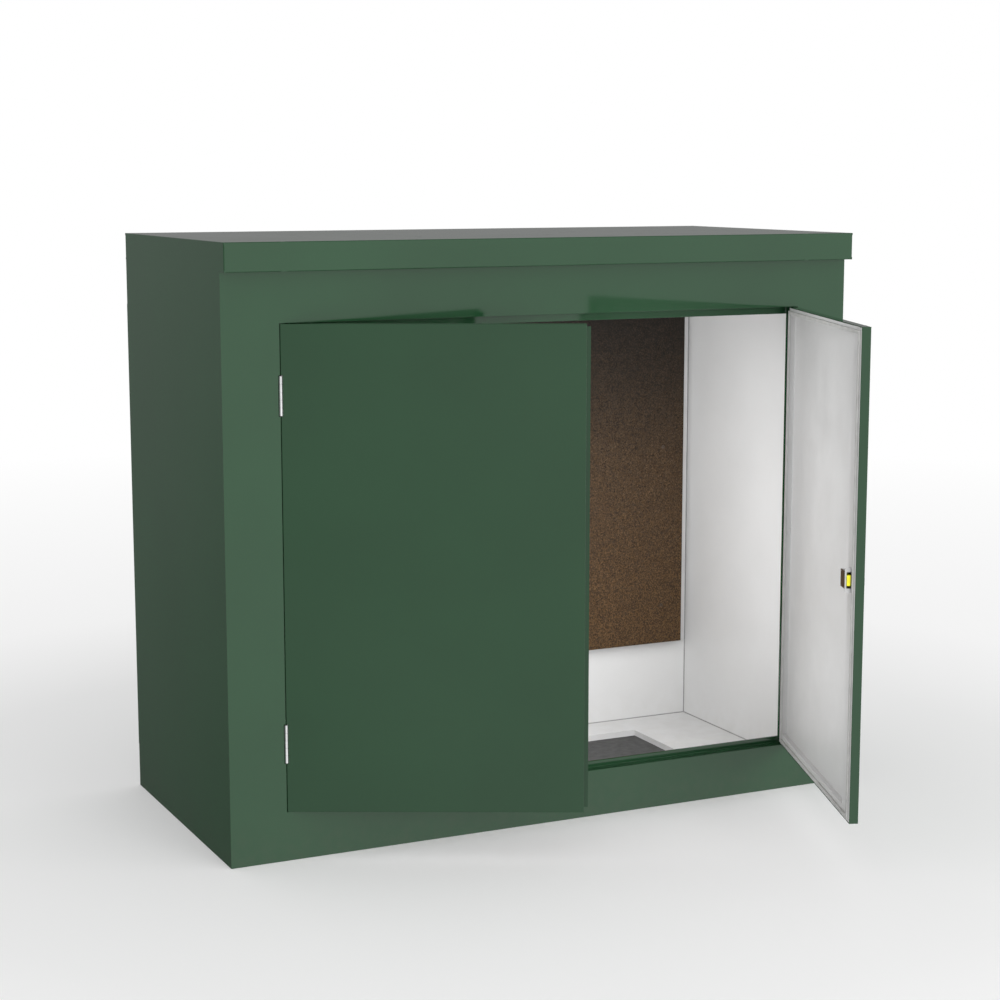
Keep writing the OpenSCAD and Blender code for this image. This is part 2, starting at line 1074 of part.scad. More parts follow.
module lock_bolt() {
    pin_x = barrel_x - lock_travel / 2;
    pin_z = lock_travel / 2;
    slot_half = cam_pin_r + cam_pin_slack;
    tail_top = lock_h / 2 - case_t - 0.8;
    color("#e8e33c")
        on_right_leaf()
            difference() {
                union() {
                    block([bolt_tail_x0, bolt_y0, lock_z - bolt_h / 2],
                          [lock_x1 + bolt_proud, bolt_y1, lock_z + bolt_h / 2]);
                    block([bolt_tail_x0, bolt_y0, lock_z],
                          [bolt_tail_x0 + bolt_tail_l, bolt_y1, lock_z + tail_top]);
                }
                block([pin_x - slot_half, bolt_y0 - past, lock_z + pin_z - slot_half],
                      [pin_x + slot_half, bolt_y1 + past, lock_z + tail_top + past]);
            }
}

left_side_panel();
right_side_panel();
rear_panel();
roof_panel();
roof_fascia();
front_panel();
door_rebate();
door_lip();
front_lining();
left_wall_lining();
right_wall_lining();
rear_wall_lining();
roof_lining();
floor_panel();
backboard_battens();
backboard();
backboard_screws();
left_frame_hinge_plates();
right_frame_hinge_plates();
left_hinge_pins();
right_hinge_pins();
left_frame_hinge_screws();
right_frame_hinge_screws();
left_door_skin();
left_door_edge();
left_door_panel();
left_door_rim();
meeting_stile();
left_door_seal();
left_door_hinge_plates();
left_door_hinge_screws();
meeting_strip();
meeting_strip_screws();
lock_keeper();
lock_keeper_screws();
shoot_bolt_guides();
shoot_bolt_guide_screws();
top_shoot_bolt();
bottom_shoot_bolt();
right_door_skin();
right_door_edge();
right_door_panel();
right_door_rim();
lock_stile();
right_door_seal();
right_door_hinge_plates();
right_door_hinge_screws();
lock_case();
lock_case_screws();
lock_forend();
lock_cover();
lock_cover_screws();
lock_escutcheon();
lock_barrel();
lock_bolt();
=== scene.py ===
import json
import math
import random

import bmesh
import bpy
from mathutils import Matrix, Vector


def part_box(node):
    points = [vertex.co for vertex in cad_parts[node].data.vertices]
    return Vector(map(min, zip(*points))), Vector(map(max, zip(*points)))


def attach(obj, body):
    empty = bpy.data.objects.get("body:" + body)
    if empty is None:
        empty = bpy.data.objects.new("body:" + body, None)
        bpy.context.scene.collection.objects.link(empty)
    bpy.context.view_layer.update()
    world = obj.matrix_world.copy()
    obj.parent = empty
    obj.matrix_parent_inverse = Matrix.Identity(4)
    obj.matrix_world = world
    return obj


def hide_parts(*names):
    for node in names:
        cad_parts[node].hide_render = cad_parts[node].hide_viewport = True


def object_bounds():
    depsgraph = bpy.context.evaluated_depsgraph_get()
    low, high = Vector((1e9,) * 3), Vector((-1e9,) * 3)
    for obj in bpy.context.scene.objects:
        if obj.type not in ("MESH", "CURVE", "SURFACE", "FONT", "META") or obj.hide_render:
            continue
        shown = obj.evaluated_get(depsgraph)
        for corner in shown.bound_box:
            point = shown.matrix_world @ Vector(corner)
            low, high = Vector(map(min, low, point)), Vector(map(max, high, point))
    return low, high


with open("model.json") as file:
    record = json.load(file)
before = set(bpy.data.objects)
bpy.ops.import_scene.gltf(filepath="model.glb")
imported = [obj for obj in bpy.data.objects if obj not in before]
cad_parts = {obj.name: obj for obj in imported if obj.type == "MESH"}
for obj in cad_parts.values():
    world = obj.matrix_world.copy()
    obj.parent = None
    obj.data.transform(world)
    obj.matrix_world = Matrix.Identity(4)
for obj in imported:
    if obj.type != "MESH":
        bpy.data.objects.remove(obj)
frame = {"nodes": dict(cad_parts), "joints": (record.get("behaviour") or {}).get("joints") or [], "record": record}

cad_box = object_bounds()
scene = bpy.context.scene
random.seed(7)


# Camera, world and lights -------------------------------------------------------

def link(obj):
    scene.collection.objects.link(obj)
    return obj


# Fitted to the outline of the photograph
camera = link(bpy.data.objects.new("camera", bpy.data.cameras.new("camera")))
camera.location = (-2.0716, -4.400, 1.4397)
camera.rotation_euler = (math.radians(81.136), 0.0, math.radians(-25.581))
camera.data.lens = 75.94
camera.data.sensor_width = 36.0
scene.camera = camera
scene.view_settings.view_transform = "Standard"


LIGHT_FROM = (0.35, -0.937, 0.0)      # the bright side of the studio
SOFT_DIM, SOFT_BRIGHT = 0.74, 1.2     # its soft light, away from that side and towards it


def build_world():
    """White to the eye, with soft light from the front right and dim reflections behind."""
    world = bpy.data.worlds.new("studio")
    scene.world = world
    world.use_nodes = True
    tree = world.node_tree

    def add(kind, **settings):
        node = tree.nodes.new(kind)
        for key, value in settings.items():
            setattr(node, key, value)
        return node

    def ramp(source, low, high, out_low, out_high):
        node = add("ShaderNodeMapRange")
        tree.links.new(source, node.inputs["Value"])
        for key, number in (("From Min", low), ("From Max", high),
                            ("To Min", out_low), ("To Max", out_high)):
            node.inputs[key].default_value = number
        return node.outputs["Result"]

    def combine(operation, a, b):
        node = add("ShaderNodeMath", operation=operation)
        tree.links.new(a, node.inputs[0])
        tree.links.new(b, node.inputs[1])
        return node.outputs[0]

    def pick(choice, a, b):
        node = add("ShaderNodeMix", data_type="FLOAT")
        tree.links.new(choice, node.inputs[0])
        for socket, value in ((node.inputs[2], a), (node.inputs[3], b)):
            if isinstance(value, float):
                socket.default_value = value
            else:
                tree.links.new(value, socket)
        return node.outputs[0]

    way = add("ShaderNodeTexCoord").outputs["Generated"]
    towards = add("ShaderNodeVectorMath", operation="DOT_PRODUCT")
    tree.links.new(way, towards.inputs[0])
    towards.inputs[1].default_value = LIGHT_FROM
    split = add("ShaderNodeSeparateXYZ")
    tree.links.new(way, split.inputs[0])
    facing = towards.outputs["Value"]
    seen_in_gloss = combine("MAXIMUM", ramp(facing, 0.0, 1.0, 0.0, 1.2),
                            ramp(split.outputs["Z"], -0.30, -0.03, 0.12, 0.25))
    soft_light = ramp(facing, 0.0, 1.0, SOFT_DIM, SOFT_BRIGHT)
    rays = add("ShaderNodeLightPath")
    level = pick(rays.outputs["Is Glossy Ray"], soft_light, seen_in_gloss)
    level = pick(rays.outputs["Is Camera Ray"], level, 1.0)
    tree.links.new(level, tree.nodes["Background"].inputs["Strength"])
    tree.nodes["Background"].inputs["Color"].default_value = (1.0, 1.0, 1.0, 1.0)


build_world()


def area_light(name, place, target, size, power, spread=180.0):
    """Soft light that isn't mirrored in the gel coat."""
    data = bpy.data.lights.new(name, "AREA")
    data.shape = "RECTANGLE"
    data.size, data.size_y = size
    data.energy = power
    data.spread = math.radians(spread)
    obj = link(bpy.data.objects.new(name, data))
    obj.location = place
    aim = Vector(target) - Vector(place)
    obj.rotation_euler = aim.to_track_quat("-Z", "Y").to_euler()
    obj.visible_glossy = False
    obj.visible_camera = False


# Materials ----------------------------------------------------------------------

class Finish:
    """A Principled material whose textures are fixed to the object, in metres."""

    def __init__(self, name, color, roughness, metallic=0.0, specular=0.5):
        self.material = bpy.data.materials.new(name)
        self.material.use_nodes = True
        self.tree = self.material.node_tree
        self.shader = self.tree.nodes["Principled BSDF"]
        self.shader.inputs["Base Color"].default_value = (*color, 1.0)
        self.shader.inputs["Roughness"].default_value = roughness
        self.shader.inputs["Metallic"].default_value = metallic
        self.shader.inputs["Specular IOR Level"].default_value = specular
        self.shader.inputs["IOR"].default_value = 1.5
        self.place = self.add("ShaderNodeTexCoord").outputs["Object"]

    def add(self, kind, **settings):
        node = self.tree.nodes.new(kind)
        for key, value in settings.items():
            setattr(node, key, value)
        return node

    def wire(self, source, target):
        self.tree.links.new(source, target)

    def stretched(self, scale):
        node = self.add("ShaderNodeMapping")
        node.inputs["Scale"].default_value = scale
        self.wire(self.place, node.inputs["Vector"])
        return node.outputs["Vector"]

    def noise(self, scale, detail=3.0, stretch=None, distortion=0.0):
        node = self.add("ShaderNodeTexNoise")
        node.inputs["Scale"].default_value = scale
        node.inputs["Detail"].default_value = detail
        node.inputs["Distortion"].default_value = distortion
        self.wire(self.stretched(stretch) if stretch else self.place, node.inputs["Vector"])
        return node.outputs["Fac"]

    def chips(self, scale):
        node = self.add("ShaderNodeTexVoronoi", feature="F1")
        node.inputs["Scale"].default_value = scale
        node.inputs["Randomness"].default_value = 1.0
        self.wire(self.place, node.inputs["Vector"])
        return node

    def span(self, value, low, high, out_low=0.0, out_high=1.0):
        node = self.add("ShaderNodeMapRange")
        node.clamp = True
        self.wire(value, node.inputs["Value"])
        for key, number in (("From Min", low), ("From Max", high),
                            ("To Min", out_low), ("To Max", out_high)):
            node.inputs[key].default_value = number
        return node.outputs["Result"]

    def math(self, operation, a, b):
        node = self.add("ShaderNodeMath", operation=operation)
        for socket, value in zip(node.inputs, (a, b)):
            if isinstance(value, (int, float)):
                socket.default_value = value
            else:
                self.wire(value, socket)
        return node.outputs[0]

    def blend(self, amount, a, b):
        node = self.add("ShaderNodeMix", data_type="RGBA")
        self.wire(amount, node.inputs["Factor"])
        for name, value in (("A", a), ("B", b)):
            socket = [s for s in node.inputs if s.name == name and s.type == "RGBA"][0]
            if isinstance(value, tuple):
                socket.default_value = (*value, 1.0)
            else:
                self.wire(value, socket)
        return [s for s in node.outputs if s.type == "RGBA"][0]

    def color(self, value):
        self.wire(value, self.shader.inputs["Base Color"])

    def roughness(self, value):
        self.wire(value, self.shader.inputs["Roughness"])

    def bump(self, height, distance, strength=1.0):
        node = self.add("ShaderNodeBump")
        node.inputs["Strength"].default_value = strength
        node.inputs["Distance"].default_value = distance
        self.wire(height, node.inputs["Height"])
        last = self.shader.inputs["Normal"]
        if last.is_linked:
            self.wire(last.links[0].from_socket, node.inputs["Normal"])
        self.wire(node.outputs["Normal"], last)

    def height_z(self):
        node = self.add("ShaderNodeSeparateXYZ")
        self.wire(self.place, node.inputs[0])
        return node.outputs["Z"]


def tint(color, factor):
    return tuple(c * factor for c in color)


def gelcoat(name, color, roughness=0.05, dull=0.05):
    """Glossy pigmented gel coat: faint mottling, orange peel, laminate print and scuffs."""
    made = Finish(name, color, roughness)
    mottle = made.span(made.noise(3.1, 4.0), 0.3, 0.7)
    base = made.blend(mottle, tint(color, 0.93), tint(color, 1.07))
    fade = made.span(made.noise(0.9, 2.0, distortion=0.4), 0.35, 0.75, 0.0, 0.30)
    chalk = tuple(0.86 * c + 0.012 for c in color)
    base = made.blend(fade, base, chalk)
    splash = made.span(made.height_z(), 0.0, SPLASH_TOP, SPLASH, 0.0)
    grime = made.math("MULTIPLY", splash, made.span(made.noise(38.0, 5.0), 0.42, 0.72))
    base = made.blend(grime, base, (0.075, 0.066, 0.05))
    made.color(base)
    scuff = made.span(made.noise(26.0, 6.0, stretch=(1.0, 1.0, 0.16)), 0.60, 0.72, 0.0, dull)
    sheen = made.span(made.noise(5.0, 3.0), 0.3, 0.7, roughness, roughness + 0.035)
    rough = made.math("ADD", made.math("ADD", sheen, scuff), made.math("MULTIPLY", grime, 0.5))
    made.roughness(rough)
    made.bump(made.noise(420.0, 2.0), 0.000006)
    made.bump(made.noise(24.0, 2.0), 0.000018)
    return made.material


def flow_coat(name, color, roughness=0.42):
    """White brushed flow coat: satin, faint brush marks, a little dust low down."""
    made = Finish(name, color, roughness)
    mottle = made.span(made.noise(6.0, 4.0), 0.3, 0.7)
    base = made.blend(mottle, tint(color, 0.975), tint(color, 1.02))
    yellow = made.span(made.noise(1.7, 3.0), 0.45, 0.8, 0.0, 0.2)
    base = made.blend(yellow, base, (color[0] * 0.98, color[1] * 0.965, color[2] * 0.92))
    low = made.span(made.height_z(), 0.012, 0.10, 0.14, 0.0)
    dust = made.math("MULTIPLY", low, made.span(made.noise(30.0, 5.0), 0.40, 0.75))
    base = made.blend(dust, base, (0.33, 0.30, 0.25))
    made.color(base)
    made.roughness(made.span(made.noise(14.0, 4.0), 0.3, 0.7, roughness - 0.08, roughness + 0.1))
    made.bump(made.noise(60.0, 3.0, stretch=(1.0, 1.0, 0.2)), 0.00006)
    made.bump(made.noise(500.0, 2.0), 0.00002)
    return made.material


def speckled_board(name):
    """Brown board of fine pressed chips, with a thin worn film, painted shade at the top, painted light low down.
    """
    made = Finish(name, (0.07, 0.045, 0.028), 0.55, specular=0.2)
    chips = made.chips(430.0)
    grain = made.add("ShaderNodeSeparateColor")
    made.wire(chips.outputs["Color"], grain.inputs[0])
    dark, mid, pale = (0.004, 0.0035, 0.003), (0.021, 0.0155, 0.011), (0.062, 0.043, 0.026)
    base = made.blend(made.span(grain.outputs[0], 0.2, 0.8), dark, mid)
    base = made.blend(made.span(grain.outputs[1], 0.66, 0.92), base, pale)
    cloud = made.span(made.noise(9.0, 4.0), 0.35, 0.65, 0.0, 0.4)
    base = made.blend(cloud, base, (0.015, 0.012, 0.009))
    # Painted light: lower down the board is blended towards a lighter, warmer brown, where it is better lit.
    low = made.span(made.height_z(), 0.25, 1.2, 1.0, 0.0)
    painted_lit_brown = made.blend(made.span(grain.outputs[2], 0.2, 0.8), (0.035, 0.019, 0.009),
                      (0.205, 0.107, 0.038))
    base = made.blend(made.math("MULTIPLY", low, 0.42), base, painted_lit_brown)
    # Painted shade: the board darkens to near black towards the top, where the door header shades it.
    painted_top_shade = made.span(made.height_z(), 0.70, 1.12, 0.0, 0.80)
    base = made.blend(painted_top_shade, base, (0.006, 0.006, 0.006))
    made.color(base)
    made.roughness(made.span(made.noise(70.0, 3.0), 0.3, 0.7, 0.5, 0.72))
    made.bump(chips.outputs["Distance"], 0.0003, 0.4)
    made.bump(made.noise(900.0, 2.0), 0.00006, 0.4)
    return made.material


def sawn_wood(name):
    made = Finish(name, (0.42, 0.27, 0.13), 0.7)
    grain = made.noise(60.0, 5.0, stretch=(1.0, 1.0, 0.06), distortion=0.6)
    made.color(made.blend(made.span(grain, 0.35, 0.65), (0.34, 0.20, 0.09), (0.55, 0.38, 0.20)))
    made.roughness(made.span(grain, 0.3, 0.7, 0.6, 0.85))
    made.bump(grain, 0.0003)
    return made.material


def brushed(name, color, roughness, along=(1.0, 1.0, 0.03)):
    """Rolled or plated metal: fine brushing, dull patches and darker stains."""
    made = Finish(name, color, roughness, metallic=1.0)
    lines = made.noise(900.0, 3.0, stretch=along)
    cloud = made.span(made.noise(45.0, 4.0), 0.45, 0.75, 0.0, 0.25)
    made.color(made.blend(cloud, color, tint(color, 0.6)))
    made.roughness(made.math("ADD", made.span(lines, 0.3, 0.7, roughness - 0.06, roughness + 0.08),
                             made.math("MULTIPLY", cloud, 0.4)))
    made.bump(lines, 0.00002)
    return made.material


def coated(name, color, roughness, metallic=0.0, chip=(0.3, 0.3, 0.3)):
    """Enamel or lacquer with small rubbed spots."""
    made = Finish(name, color, roughness, metallic=metallic)
    spots = made.span(made.noise(240.0, 4.0), 0.66, 0.72, 0.0, 0.8)
    shade = made.span(made.noise(60.0, 3.0), 0.3, 0.7)
    base = made.blend(shade, tint(color, 0.9), tint(color, 1.08))
    made.color(made.blend(spots, base, chip))
    made.roughness(made.span(made.noise(110.0, 4.0), 0.3, 0.7, roughness - 0.05, roughness + 0.12))
    made.bump(made.noise(700.0, 2.0), 0.00003)
    return made.material


def rubber(name, color):
    made = Finish(name, color, 0.65)
    pores = made.chips(1400.0)
    made.color(made.blend(made.span(made.noise(35.0, 4.0), 0.3, 0.7),
                          tint(color, 0.88), tint(color, 1.05)))
    made.roughness(made.span(made.noise(90.0, 3.0), 0.3, 0.7, 0.55, 0.8))
    made.bump(pores.outputs["Distance"], 0.0001)
    return made.material


SPLASH, SPLASH_TOP = 0.12, 0.12      # how strong the splash marks are, and how high they reach
GREEN = (0.013, 0.0555, 0.0215)
WHITE = (0.62, 0.62, 0.62)
looks = {
    "green_shell": gelcoat("green_shell", GREEN),
    "green_door": gelcoat("green_door", tint(GREEN, 0.86), roughness=0.045),
    "green_edge": gelcoat("green_edge", tint(GREEN, 1.15), roughness=0.10, dull=0.12),
    "white_lining": flow_coat("white_lining", WHITE),
    "white_floor": flow_coat("white_floor", WHITE, 0.5),
    "white_door": flow_coat("white_door", WHITE, 0.38),
    "seal_rubber": rubber("seal_rubber", (0.50, 0.50, 0.49)),
    "backboard_ply": speckled_board("backboard_ply"),
    "batten_wood": sawn_wood("batten_wood"),
    "hinge_steel": brushed("hinge_steel", (0.86, 0.86, 0.87), 0.26),
    "screw_brown": coated("screw_brown", (0.05, 0.033, 0.02), 0.45, 0.2, (0.2, 0.15, 0.1)),
    "screw_zinc": brushed("screw_zinc", (0.62, 0.63, 0.65), 0.3, along=(1.0, 1.0, 1.0)),
    "shoot_bolt_steel": brushed("shoot_bolt_steel", (0.58, 0.59, 0.61), 0.3),
    "lock_zinc": brushed("lock_zinc", (0.56, 0.56, 0.56), 0.36, along=(1.0, 1.0, 1.0)),
    "lock_forend_paint": coated("lock_forend_paint", (0.47, 0.47, 0.47), 0.4),
    "lock_cover_bronze": coated("lock_cover_bronze", (0.11, 0.068, 0.035), 0.4, 0.35,
                                (0.4, 0.27, 0.12)),
    "bolt_brass": coated("bolt_brass", (0.95, 0.88, 0.03), 0.3, 0.25, (0.8, 0.62, 0.2)),
    "sealant": rubber("sealant", (0.28, 0.28, 0.275)),
}
slot_of = {row["node"]: row["material_slot"] for row in frame["record"]["subparts"]}


def paint(obj, *names):
    obj.data.materials.clear()
    for name in names:
        obj.data.materials.append(looks[name])


for node_name, node in frame["nodes"].items():
    paint(node, slot_of[node_name])


# Mesh tools ---------------------------------------------------------------------

def box(lo, hi):
    return tuple(lo), tuple(hi)


def carve(steps):
    """Boundary of boxes that are added (True) and cut (False) in order, as quads."""
    axes = [sorted({round(c[a], 6) for _, b in steps for c in b}) for a in range(3)]
    mids = [[(p + q) / 2 for p, q in zip(line, line[1:])] for line in axes]

    def full(point):
        state = False
        for add, (lo, hi) in steps:
            if all(lo[a] < point[a] < hi[a] for a in range(3)):
                state = add
        return state

    solid = {
        (i, j, k)
        for i, x in enumerate(mids[0])
        for j, y in enumerate(mids[1])
        for k, z in enumerate(mids[2])
        if full((x, y, z))
    }
    bm, corners = bmesh.new(), {}

    def corner(index):
        if index not in corners:
            corners[index] = bm.verts.new([axes[a][index[a]] for a in range(3)])
        return corners[index]

    for cell in sorted(solid):
        for a in range(3):
            for step in (0, 1):
                beside = list(cell)
                beside[a] += 1 if step else -1
                if tuple(beside) in solid:
                    continue
                u, v = (a + 1) % 3, (a + 2) % 3
                loop = []
                for du, dv in ((0, 0), (1, 0), (1, 1), (0, 1)):
                    index = list(cell)
                    index[a] += step
                    index[u] += du
                    index[v] += dv
                    loop.append(corner(tuple(index)))
                bm.faces.new(loop if step else reversed(loop))
    bmesh.ops.dissolve_limit(bm, angle_limit=0.01, verts=bm.verts[:], edges=bm.edges[:])
    bm.normal_update()
    return bm


def round_edges(bm, radius, pick, segments=3, material=0):
    """Rounds the edges for which pick(edge, face, face) is true."""
    chosen = [
        e for e in bm.edges
        if len(e.link_faces) == 2
        and e.link_faces[0].normal.dot(e.link_faces[1].normal) < 0.7
        and pick(e, *e.link_faces)
    ]
    bmesh.ops.bevel(bm, geom=chosen, offset=radius, offset_type="OFFSET", segments=segments,
                    profile=0.5, affect="EDGES", clamp_overlap=True, material=material)
    bm.normal_update()


def finish_mesh(bm, name, body, slot, materials, replaced=(), matrix=None, sharp=0.9):
    """Turns a bmesh into a piece with smooth rounds, flat faces and a body to ride on."""
    if matrix is not None:
        bm.transform(matrix)
        if matrix.determinant() < 0:
            bmesh.ops.reverse_faces(bm, faces=bm.faces[:])
    bm.normal_update()
    for face in bm.faces:
        face.smooth = True
    for edge in bm.edges:
        if len(edge.link_faces) == 2:
            edge.smooth = edge.calc_face_angle(0.0) < sharp
    mesh = bpy.data.meshes.new(name)
    bm.to_mesh(mesh)
    bm.free()
    obj = link(bpy.data.objects.new(name, mesh))
    paint(obj, *materials)
    weighted = obj.modifiers.new("normals", "WEIGHTED_NORMAL")
    weighted.keep_sharp = True
    weighted.weight = 60
    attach(obj, body)
    if replaced:
        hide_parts(*replaced)


def soften(node_name, width, segments=2):
    """Small round on the sharp edges of a CAD node."""
    node = frame["nodes"][node_name]
    bevel = node.modifiers.new("edges", "BEVEL")
    bevel.width = width
    bevel.segments = segments
    bevel.limit_method = "ANGLE"
    bevel.angle_limit = math.radians(35)
    bevel.use_clamp_overlap = True
    bevel.harden_normals = False


# The leaf frames: origin on the hinge axis, X to the meeting edge, Y to the inside
joints = {j["name"]: j for j in frame["joints"]}


def leaf_frame(joint_name, mirrored):
    joint = joints[joint_name]
    angle = math.radians(joint["range_deg"][0]) * (-1 if mirrored else 1)
    x, y, _ = joint["pos_m"]
    made = Matrix.Translation((x, y, 0.0)) @ Matrix.Rotation(angle, 4, "Z")
    return made @ Matrix.Scale(-1.0, 4, (1.0, 0.0, 0.0)) if mirrored else made


leaves = {
    "left": leaf_frame("left_door_hinge", False),
    "right": leaf_frame("right_door_hinge", True),
}


def leaf_box(node_name, side):
    """Box of a CAD node in its leaf frame."""
    inverse = leaves[side].inverted()
    points = [inverse @ v.co for v in frame["nodes"][node_name].data.vertices]
    lo = Vector([min(p[a] for p in points) for a in range(3)])
    hi = Vector([max(p[a] for p in points) for a in range(3)])
    return Vector([round(c, 6) for c in lo]), Vector([round(c, 6) for c in hi])


def levels(node_name, axis):
    return sorted({round(v.co[axis], 5) for v in frame["nodes"][node_name].data.vertices})


def levels_leaf(node_name, side, axis):
    inverse = leaves[side].inverted()
    return sorted({round((inverse @ v.co)[axis], 4)
                   for v in frame["nodes"][node_name].data.vertices})


# The shell, as the one moulding that it is --------------------------------------

PIN = joints["left_door_hinge"]["pos_m"]
AXIS_X, AXIS_Y = abs(PIN[0]), PIN[1]
RELIEF_R = 0.0046        # room round a hinge knuckle
RELIEF_END = 0.0025      # and beyond its ends
MORTISE_V = 0.002        # where the pocket of a hinge plate starts, behind the axis
PLATE_T = 0.0015         # a hinge plate, let in flush
BORE_HALF = 0.0081       # half the square hole for the lock barrel
BORE_NEAR = 0.009        # faces this close to the barrel's axis belong to that hole
PAST = 0.001             # how far a cut runs past a surface
ROUND_SHELL, ROUND_DOORWAY, ROUND_SKIN, ROUND_LINER = 0.0022, 0.0009, 0.0008, 0.0012
HAIR = 0.0003            # two levels closer than this are the same
LONG_EDGE = 0.02         # shorter edges are hinge pockets, and stay sharp
LINER_EDGE = 0.0175      # the same for the white liners
SOLIDS_APART = 0.2       # the upper and lower hinge are further apart than this


def spans_z(node_name):
    """Height spans of the separate solids of a node."""
    spans, points = [], levels(node_name, 2)
    start = last = points[0]
    for z in points[1:]:
        if z - last > SOLIDS_APART:
            spans.append((start, last))
            start = z
        last = z
    spans.append((start, last))
    return spans


def build_shell():
    walls = ("left_side_panel", "right_side_panel", "rear_panel", "roof_panel",
             "roof_fascia", "front_panel", "door_rebate", "door_lip")
    b = {w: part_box(w) for w in walls}
    t = b["right_side_panel"][1].x - b["right_side_panel"][0].x
    front = b["front_panel"][0].y
    rebate_lo, rebate_hi = b["door_rebate"]
    open_x, open_z0, open_z1 = rebate_hi.x - t, rebate_lo.z + t, rebate_hi.z - t
    lip_lo, lip_hi = b["door_lip"]
    lip_x = levels("door_lip", 0)[2]
    lip_z = levels("door_lip", 2)[1:3]
    fascia_lo, fascia_hi = b["roof_fascia"]
    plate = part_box("right_frame_hinge_plates")
    steps = [(True, b[w]) for w in ("left_side_panel", "right_side_panel", "rear_panel",
                                    "roof_panel", "roof_fascia", "front_panel")]
    steps.append((False, box((-open_x, front - t, open_z0), (open_x, front + 2 * t, open_z1))))
    steps.append((True, box(rebate_lo, rebate_hi)))
    steps.append((False, box((-open_x, front, open_z0), (open_x, rebate_hi.y + t, open_z1))))
    steps.append((True, box(lip_lo, lip_hi)))
    steps.append((False, box((-lip_x, lip_lo.y - t, lip_z[0]), (lip_x, lip_hi.y + t, lip_z[1]))))
    steps.append((False, box((-open_x, front - t, open_z0), (open_x, lip_lo.y, open_z1))))
    steps.append((False, box((fascia_lo.x + t, fascia_lo.y + t, fascia_lo.z + t),
                             (fascia_hi.x - t, front, fascia_hi.z))))
    small = set()
    for z0, z1 in spans_z("right_frame_hinge_plates"):
        small.update(round(z, 5) for z in (z0, z1, z0 - RELIEF_END, z1 + RELIEF_END))
        for side in (-1, 1):
            for x1, y0, y1, extra in ((AXIS_X + RELIEF_R, front - PAST, AXIS_Y + RELIEF_R,
                                       RELIEF_END),
                                      (plate[1].x, AXIS_Y + MORTISE_V, plate[1].y, 0.0)):
                xs = sorted((side * (open_x - PAST), side * x1))
                steps.append((False, box((xs[0], y0, z0 - extra), (xs[1], y1, z1 + extra))))
    bm = carve(steps)
    inner_x, inner_y = b["right_side_panel"][0].x, b["rear_panel"][0].y
    roof_z = b["roof_panel"][0].z

    def shows(face):
        c = face.calc_center_median()
        n = face.normal
        if n.z < -0.9 and c.z < HAIR:
            return False
        if abs(abs(c.x) - inner_x) < HAIR and abs(n.x) > 0.9:
            return False
        if abs(c.y - inner_y) < HAIR and abs(n.y) > 0.9:
            return False
        if abs(c.z - roof_z) < HAIR and abs(n.z) > 0.9:
            return False
        if n.y > 0.9 and c.y < lip_lo.y - HAIR:
            return False
        if fascia_lo.y + HAIR < c.y < front - HAIR and fascia_lo.z + HAIR < c.z < roof_z + HAIR:
            return abs(n.x) > 0.9 and abs(c.x) > inner_x + HAIR
        if lip_hi.y - 0.04 < c.y < lip_hi.y - HAIR and abs(n.y) < 0.1:
            return abs(c.x) < open_x + HAIR and open_z0 - HAIR < c.z < open_z1 + HAIR
        return True

    def long(edge):
        return edge.calc_length() > LONG_EDGE and not any(round(v.co.z, 5) in small
                                                     for v in edge.verts)

    def doorway(edge):
        mid = (edge.verts[0].co + edge.verts[1].co) / 2
        return abs(mid.x) < open_x + HAIR and open_z0 - HAIR < mid.z < open_z1 + HAIR

    def can_round(e, f, g):
        return shows(f) and shows(g) and long(e)

    round_edges(bm, ROUND_DOORWAY, lambda e, f, g: can_round(e, f, g) and doorway(e), material=1)
    round_edges(bm, ROUND_SHELL, lambda e, f, g: can_round(e, f, g) and not doorway(e)
                and not any(face.material_index for face in (f, g)), material=1)
    finish_mesh(bm, "shell_moulding", "cabinet", "green_shell",
                ("green_shell", "green_edge"), walls)


build_shell()


# Door skins and liners ----------------------------------------------------------

